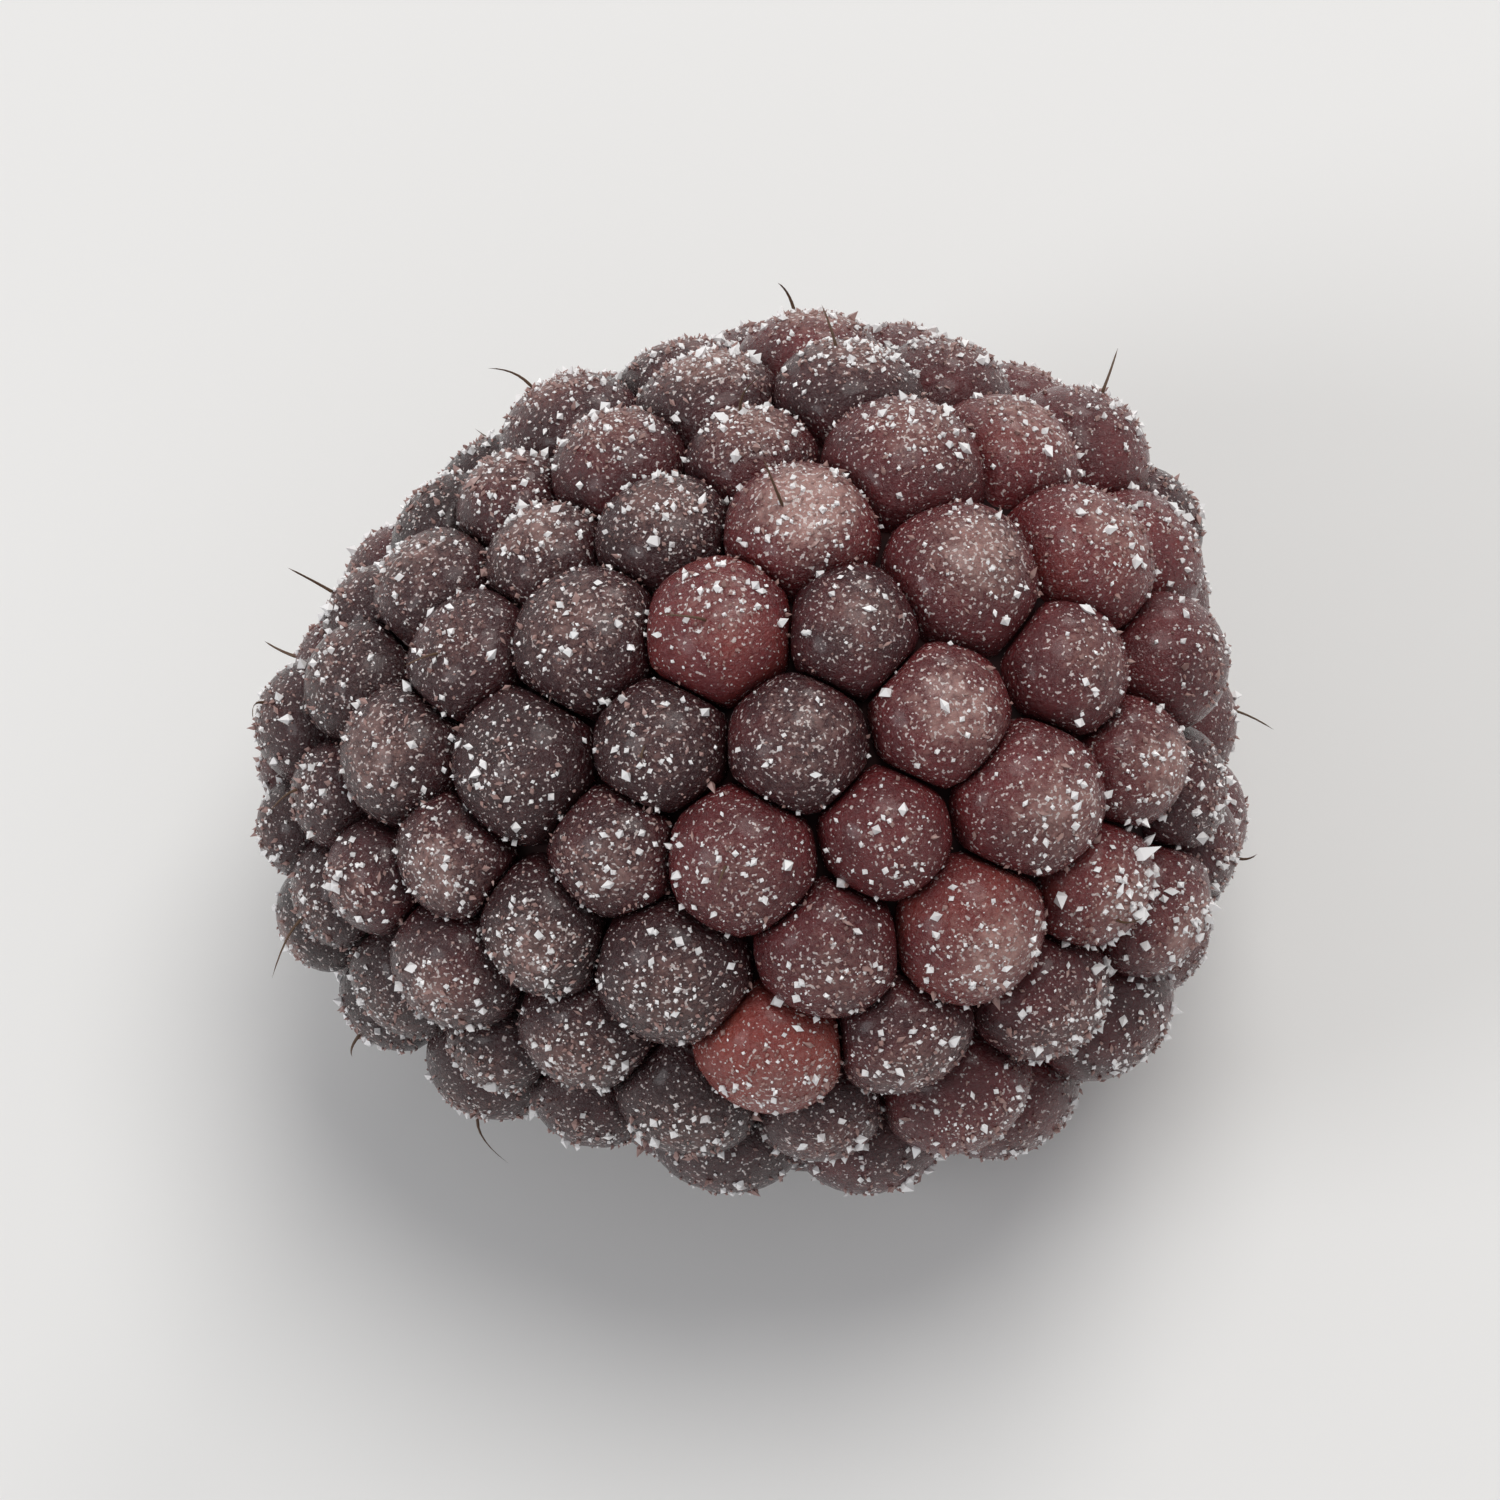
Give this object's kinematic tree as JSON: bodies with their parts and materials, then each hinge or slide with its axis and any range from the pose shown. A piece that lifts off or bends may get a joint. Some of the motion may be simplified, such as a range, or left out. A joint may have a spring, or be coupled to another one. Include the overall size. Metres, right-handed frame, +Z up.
{
  "type": "bramble berry",
  "caption": "Ripe bramble berry lying on its side: a plump oval cluster of round, tightly packed drupelets with a bare stem scar at one end.",
  "frame": {"origin": "on the surface that the berry lies on, under the middle of its bounding box", "axes": "+X along the berry's length from the rounded tip to the stem scar, +Z up from the surface, +Y across the berry so that the frame is right-handed"},
  "size_m": [0.0311, 0.0278, 0.026],
  "materials": {
    "berry_skin": "dark wine-red to purple-black drupelet skin, satin, dusted with pale frost on the crowns"
  },
  "bodies": {
    "root": {"berry": "berry_skin"}
  },
  "joints": []
}
